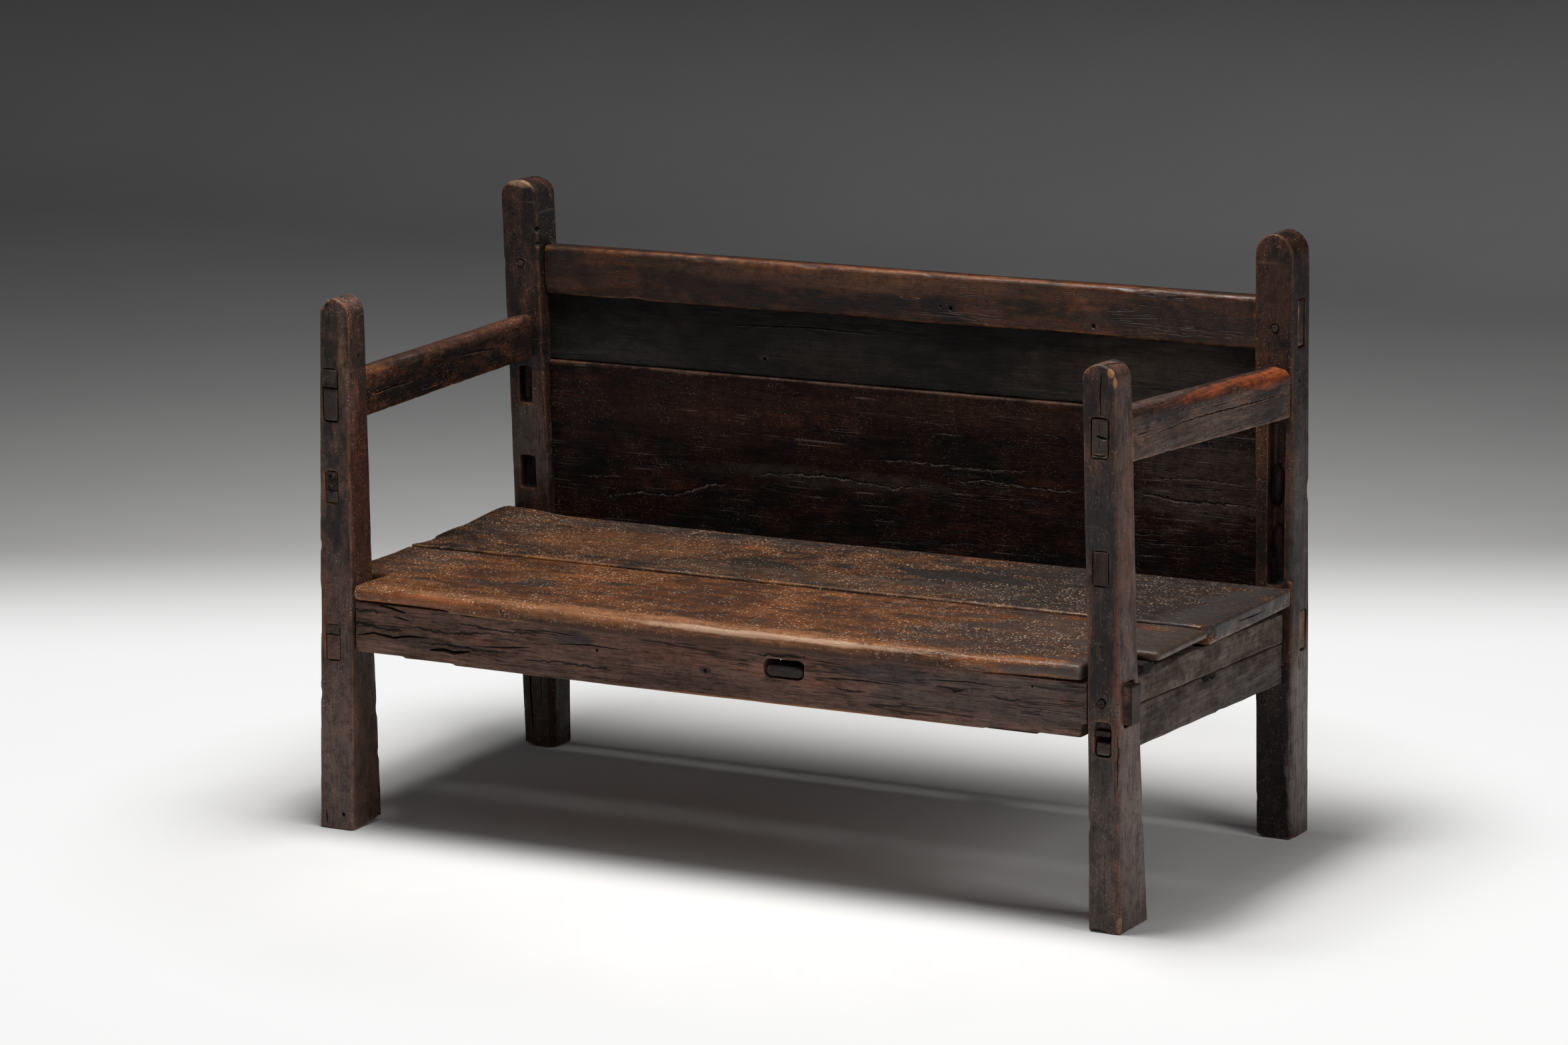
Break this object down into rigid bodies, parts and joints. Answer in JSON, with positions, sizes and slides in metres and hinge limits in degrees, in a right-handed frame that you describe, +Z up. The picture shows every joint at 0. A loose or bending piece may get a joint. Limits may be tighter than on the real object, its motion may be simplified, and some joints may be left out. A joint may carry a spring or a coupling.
{
  "type": "wooden bench",
  "caption": "Old dark wooden bench with a boarded seat and back, side arms and leaning round-headed posts, joined by pegged and wedged through tenons.",
  "frame": {"origin": "centre of the bounding box's base, on the floor", "axes": "+X along the bench towards its right end as seen from the front, +Y towards the back, +Z up; someone on the bench faces -Y"},
  "size_m": [1.432, 0.7, 0.963],
  "materials": {
    "post_timber": "dark worn hardwood with old wax",
    "rail_timber": "dark rough hardwood",
    "arm_timber": "red-brown hardwood polished by hands",
    "crest_timber": "warm brown hardwood, satin",
    "upper_board_timber": "nearly black, dry",
    "lower_board_timber": "dark red-brown, dry",
    "seat_timber": "mid brown, worn satin",
    "packing_timber": "grey-brown softwood, dry",
    "peg_timber": "brown hardwood, dry"
  },
  "bodies": {
    "root": {"front_left_post": "post_timber", "front_right_post": "post_timber", "rear_left_post": "post_timber", "rear_right_post": "post_timber", "front_seat_rail": "rail_timber", "rear_seat_rail": "rail_timber", "left_side_rail": "rail_timber", "right_side_rail": "rail_timber", "middle_seat_bearer": "rail_timber", "right_packing_strip": "packing_timber", "left_arm": "arm_timber", "right_arm": "arm_timber", "crest_rail": "crest_timber", "upper_back_board": "upper_board_timber", "lower_back_board": "lower_board_timber", "front_seat_board": "seat_timber", "rear_seat_board": "seat_timber", "crest_peg_left": "peg_timber", "crest_peg_right": "peg_timber", "front_rail_peg": "peg_timber", "left_arm_wedge": "peg_timber", "left_side_rail_wedge": "peg_timber", "right_side_rail_wedge": "peg_timber", "front_left_mortise_plug": "peg_timber", "front_right_mortise_plug": "peg_timber"}
  },
  "joints": []
}
